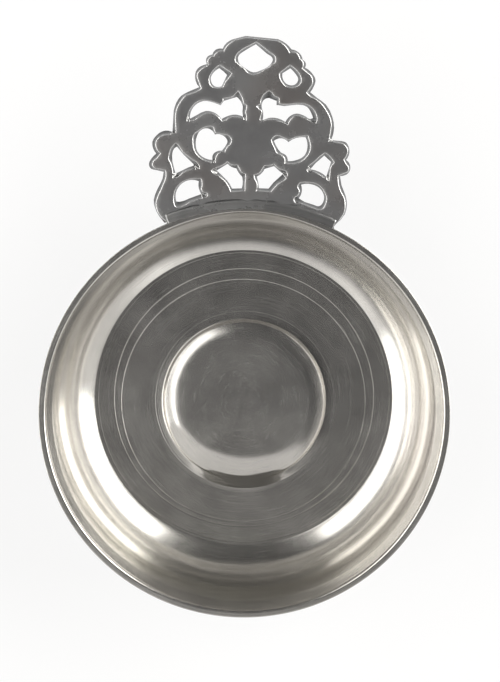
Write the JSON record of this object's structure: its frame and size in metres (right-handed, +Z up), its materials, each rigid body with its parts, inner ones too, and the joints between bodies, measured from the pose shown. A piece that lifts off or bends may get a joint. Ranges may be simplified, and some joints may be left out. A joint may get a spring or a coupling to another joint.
{
  "type": "pewter porringer",
  "caption": "Round bellied pewter bowl with a low domed boss in its floor and one flat pierced ear level with the rim.",
  "frame": {"origin": "on the bowl's axis, in the plane that the foot rests on", "axes": "+Z up out of the bowl, +Y from the axis towards the tip of the ear, +X to the right when the bowl is seen from above with the ear away from the viewer"},
  "size_m": [0.1364, 0.1928, 0.048],
  "materials": {
    "turned_pewter": "pewter, turned and scoured to a soft satin, slightly warm grey",
    "cast_pewter": "pewter, cast and scraped, dull neutral grey with brighter worn edges",
    "solder": "tin-rich solder, wiped flush and a little brighter than the castings"
  },
  "bodies": {
    "root": {"bowl": "turned_pewter", "ear": "cast_pewter", "ear_bracket": "cast_pewter", "solder_seam": "solder"}
  },
  "joints": []
}
